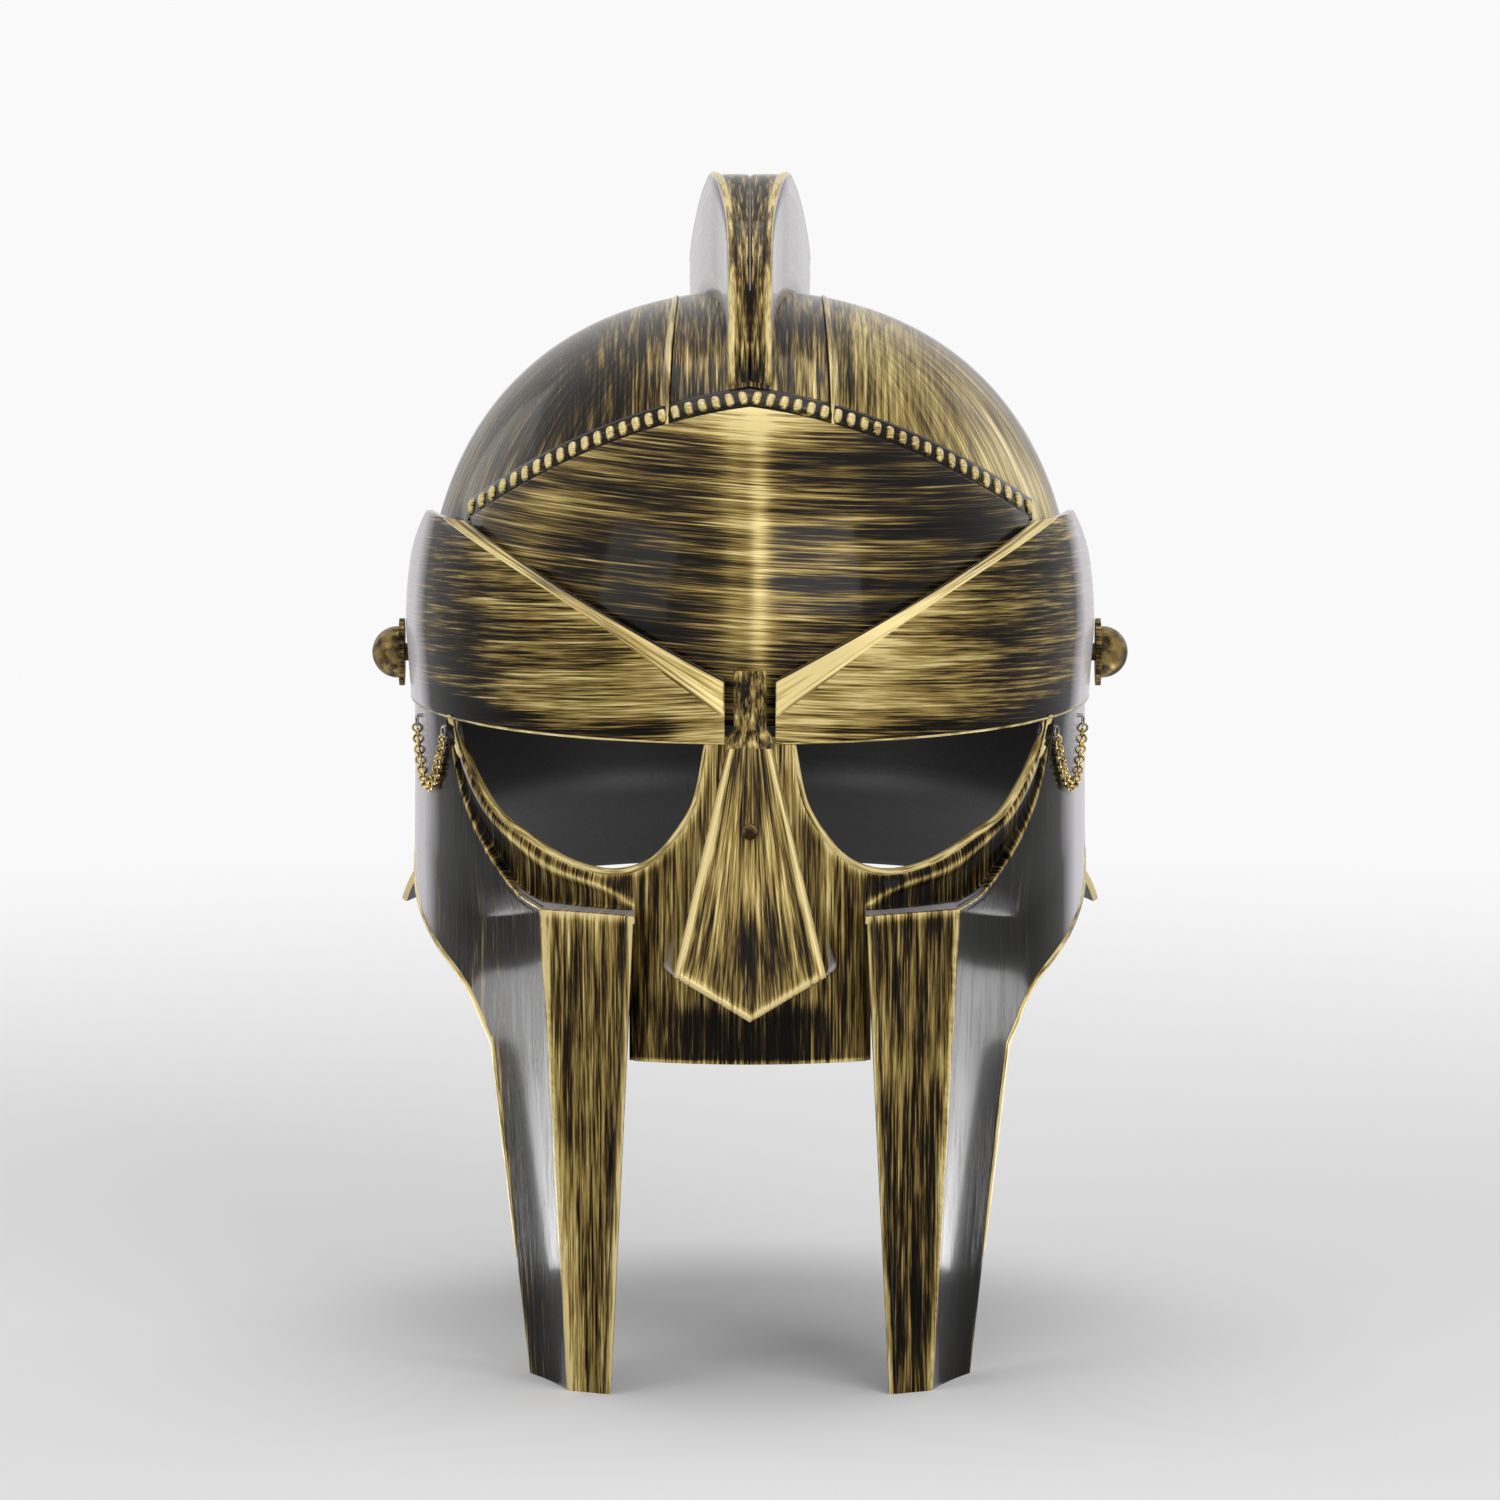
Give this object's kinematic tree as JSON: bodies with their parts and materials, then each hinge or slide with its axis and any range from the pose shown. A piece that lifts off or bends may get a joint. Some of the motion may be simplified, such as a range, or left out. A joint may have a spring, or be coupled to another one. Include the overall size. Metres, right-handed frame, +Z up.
{
  "type": "gladiator helmet",
  "caption": "Crested gladiator helmet with a beaded band, V-shaped brow plates, a nose guard, swagged chains and a face mask with long cheek blades that lifts on side knobs.",
  "frame": {"origin": "midway between the two side knobs, on the axis that the mask turns about, inside the wearer's head", "axes": "+Z up, the face looks along -Y, +X is the wearer's left"},
  "size_m": [0.2138, 0.2592, 0.3281],
  "materials": {
    "shell_gold": "dark gloss moulding dry-brushed with antique gold in vertical strokes, clear coated",
    "plate_gold": "dark gloss moulding dry-brushed with antique gold in level strokes, clear coated",
    "bead_gold": "gold painted bars with dark valleys, clear coated",
    "crest_gold": "dark gloss moulding rubbed with antique gold, clear coated",
    "trim_gold": "pale gold on the raised edge, clear coated",
    "mask_gold": "dark gloss moulding dry-brushed with antique gold in vertical strokes, clear coated",
    "screw_steel": "plain zinc-plated steel",
    "knob_brass": "polished antique brass",
    "chain_brass": "bright brass wire",
    "hook_steel": "plain steel wire",
    "washer_plastic": "plain black low-friction plastic",
    "pad_foam": "black cloth over foam"
  },
  "bodies": {
    "shell": {"skull_shell": "shell_gold", "forehead_plate": "plate_gold", "beaded_band": "bead_gold", "crest_half_left": "crest_gold", "crest_half_right": "crest_gold", "crest_screws": "screw_steel", "knob_left": "knob_brass", "knob_right": "knob_brass", "pivot_washer_left": "knob_brass", "pivot_washer_right": "knob_brass", "thrust_washer_left": "washer_plastic", "thrust_washer_right": "washer_plastic", "push_nut_left": "screw_steel", "push_nut_right": "screw_steel", "crown_pad": "pad_foam", "front_pad": "pad_foam", "rear_pad": "pad_foam", "side_pad_left": "pad_foam", "side_pad_right": "pad_foam"},
    "visor": {"face_mask": "mask_gold", "nose_guard": "mask_gold", "nose_rivet": "screw_steel", "brow_plate_left": "plate_gold", "brow_plate_right": "plate_gold", "brow_rim_left": "trim_gold", "brow_rim_right": "trim_gold", "chain_hooks": "hook_steel"},
    "chain_left": {"chain_left": "chain_brass"},
    "chain_right": {"chain_right": "chain_brass"}
  },
  "joints": [
    {"name": "visor_lift", "type": "hinge", "parent": "shell", "child": "visor", "pos_m": [0, 0, 0], "axis": [-1, 0, 0], "range_deg": [0, 40]},
    {"name": "chain_left_swing", "type": "hinge", "parent": "visor", "child": "chain_left", "pos_m": [0.08518, -0.056, -0.0175], "axis": [-0.2987, -0.9543, 0], "range_deg": [0, 30]},
    {"name": "chain_right_swing", "type": "hinge", "parent": "visor", "child": "chain_right", "pos_m": [-0.08518, -0.056, -0.0175], "axis": [-0.2987, 0.9543, 0], "range_deg": [0, 30]}
  ]
}
